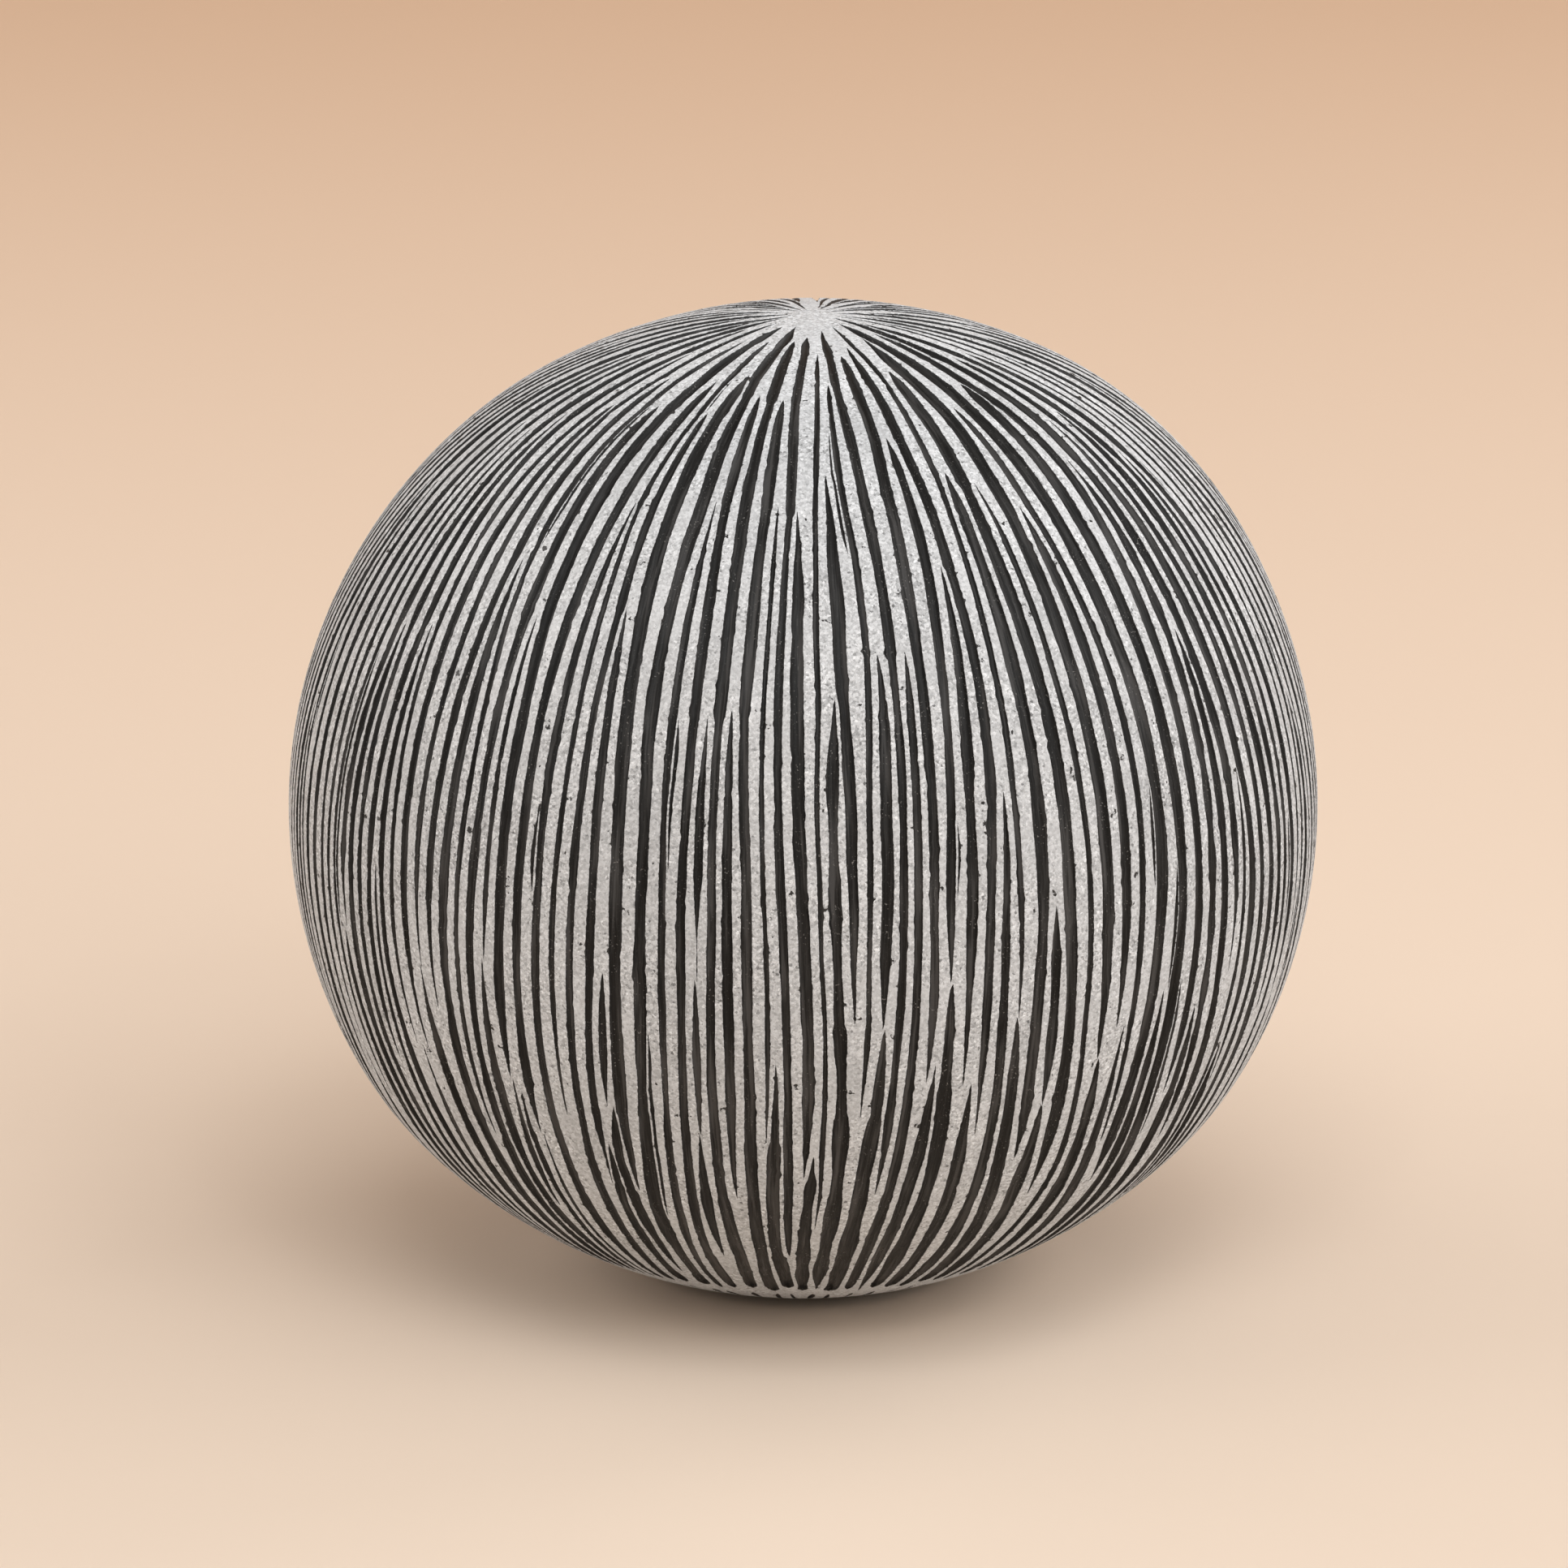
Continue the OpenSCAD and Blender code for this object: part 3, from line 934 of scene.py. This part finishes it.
def felt_pad(name, x, y, seed):
    """A stuck-on felt disc: pressed flat below, soft at the rim, fibres standing off its side."""
    rng = np.random.default_rng(seed)
    prof = [(0.0, 0.0), (1.3, 0.0), (2.5, 0.0), (3.4, 0.02), (3.75, 0.12), (3.92, 0.35), (3.95, 0.7), (3.93, 1.1),
            (3.85, 1.38), (3.6, 1.5), (2.2, 1.5), (0.0, 1.5)]
    sides, verts, faces, prev = 72, [], [], None
    ph = [(k, rng.uniform(0, 6.28), rng.uniform(0.2, 1)) for k in (2, 3, 5, 8, 13, 21, 34)]
    for k, (r, z) in enumerate(prof):
        if r == 0:
            cur = [len(verts)]
            verts.append((x, y, z))
        else:
            cur = []
            for m in range(sides):
                a = 2 * math.pi * m / sides
                f = sum(w * math.sin(q * a + p + z * q) for q, p, w in ph) * 0.012 + rng.normal() * 0.012
                rr = r + (min(f, 0.045) if 2.6 < r else 0)
                cur.append(len(verts))
                verts.append((x + rr * math.cos(a), y + rr * math.sin(a), z))
        if prev is not None:
            n = sides
            for m in range(n):
                q = (m + 1) % n
                if len(prev) == 1:
                    faces.append((prev[0], cur[q], cur[m]))
                elif len(cur) == 1:
                    faces.append((prev[m], prev[q], cur[0]))
                else:
                    faces.append((prev[m], prev[q], cur[q], cur[m]))
        prev = cur
    mesh = bpy.data.meshes.new(name)
    mesh.from_pydata((np.array(verts) * 0.001).tolist(), [], faces)
    mesh.polygons.foreach_set("use_smooth", np.ones(len(mesh.polygons), bool))
    mesh.materials.append(FELT)
    o = bpy.data.objects.new(name, mesh)
    bpy.context.scene.collection.objects.link(o)
    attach(o, "root")
    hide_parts("felt_pads")
    return o


q = 23.5 * math.sqrt(0.5)
for k, (name, x, y) in enumerate((("felt_pad_front_right", q, -q), ("felt_pad_front_left", -q, -q),
                                  ("felt_pad_back_left", -q, q), ("felt_pad_back_right", q, q))):
    felt_pad(name, x, y, 20 + k)


# ---- floor, light and camera -------------------------------------------------------------------------
def sweep():
    """A seamless pale backdrop: flat floor that curves up far behind the ball."""
    ys, zs = [-40.0, -4.0, -1.0, 0.0, 1.5, 3.0], [0.0] * 6
    for k in range(1, 17):
        a = math.radians(90 * k / 16)
        ys.append(3.0 + 2.0 * math.sin(a))
        zs.append(2.0 * (1 - math.cos(a)))
    ys.append(5.0)
    zs.append(5.0)
    verts = [(x, y, z) for y, z in zip(ys, zs) for x in (-40.0, 40.0)]
    faces = [(2 * k, 2 * k + 1, 2 * k + 3, 2 * k + 2) for k in range(len(ys) - 1)]
    mesh = bpy.data.meshes.new("sweep")
    mesh.from_pydata(verts, [], faces)
    mesh.polygons.foreach_set("use_smooth", np.ones(len(mesh.polygons), bool))
    g = Nodes("peach_paper")
    at = g.add("TexCoord").outputs["Object"]
    grain = g.noise(at, 900, 3, 0.6)
    xyz = g.add("SeparateXYZ")
    g.link(at, xyz.inputs[0])
    # painted shade: the paper is painted darker and more orange towards the back, standing in for light falling off
    # away from the lamps
    far = g.ramp(xyz.outputs[1], -0.4, 2.2, 0.0, 1.0, True)
    color = g.mix(far, (0.862, 0.722, 0.596), (0.790, 0.548, 0.378))
    color = g.mix(g.math("MULTIPLY", g.noise(at, 1.3, 2, 0.5), 0.12), color, (0.70, 0.49, 0.34))
    mesh.materials.append(g.surface(color, 0.9, g.bump(grain, 0.1, 0.0002), specular=0.15))
    o = bpy.data.objects.new("sweep", mesh)
    bpy.context.scene.collection.objects.link(o)


sweep()


def lamp(name, at, aim, size, power, color, spread=math.pi):
    d = bpy.data.lights.new(name, "AREA")
    d.shape, d.size, d.size_y = "RECTANGLE", size[0], size[1]
    d.energy, d.color, d.spread = power, color, spread
    o = bpy.data.objects.new(name, d)
    bpy.context.scene.collection.objects.link(o)
    o.location = at
    o.rotation_euler = (Vector(aim) - Vector(at)).to_track_quat("-Z", "Y").to_euler()
    return o


COOL = (0.965, 1.0, 1.03)
AIM = (0, 0, 0.1)
lamp("key_softbox", (0.0, -2.2, 3.0), AIM, (1.8, 1.8), 35.0, COOL)
lamp("high_right_softbox", (1.3, -1.7, 3.1), AIM, (1.9, 1.9), 16.6, COOL)
lamp("front_right_softbox", (1.9, -2.5, 2.0), AIM, (1.8, 1.8), 25.0, COOL)
lamp("right_softbox", (3.0, -0.3, 1.3), AIM, (1.8, 2.2), 17.2, COOL, math.radians(150))
lamp("left_softbox", (-3.0, -0.3, 1.3), AIM, (1.8, 2.2), 15.6, COOL, math.radians(150))
lamp("back_right_softbox", (2.4, 1.5, 1.8), AIM, (1.6, 1.8), 20.7, COOL)
lamp("back_left_softbox", (-2.4, 1.5, 1.8), AIM, (1.6, 1.8), 13.0, COOL)

world = bpy.data.worlds.new("studio")
world.use_nodes = True
world.node_tree.nodes["Background"].inputs[0].default_value = (1.0, 0.88, 0.76, 1.0)
world.node_tree.nodes["Background"].inputs[1].default_value = 0.434
bpy.context.scene.world = world
bpy.context.scene.view_settings.view_transform = "Standard"

cam = bpy.data.cameras.new("camera")
cam.lens, cam.sensor_width = 141.3, 36.0
cam.clip_start, cam.clip_end = 0.05, 50.0
view = bpy.data.objects.new("camera", cam)
bpy.context.scene.collection.objects.link(view)
e = math.radians(15.5)
back, right, up = Vector((0, -math.cos(e), math.sin(e))), Vector((1, 0, 0)), Vector((0, math.sin(e), math.cos(e)))
view.location = Vector((0, 0, BELT * 0.001)) + back * 1.2 - right * 0.00369 + up * 0.00385
view.rotation_euler = (math.pi / 2 - e, 0, 0)
bpy.context.scene.camera = view

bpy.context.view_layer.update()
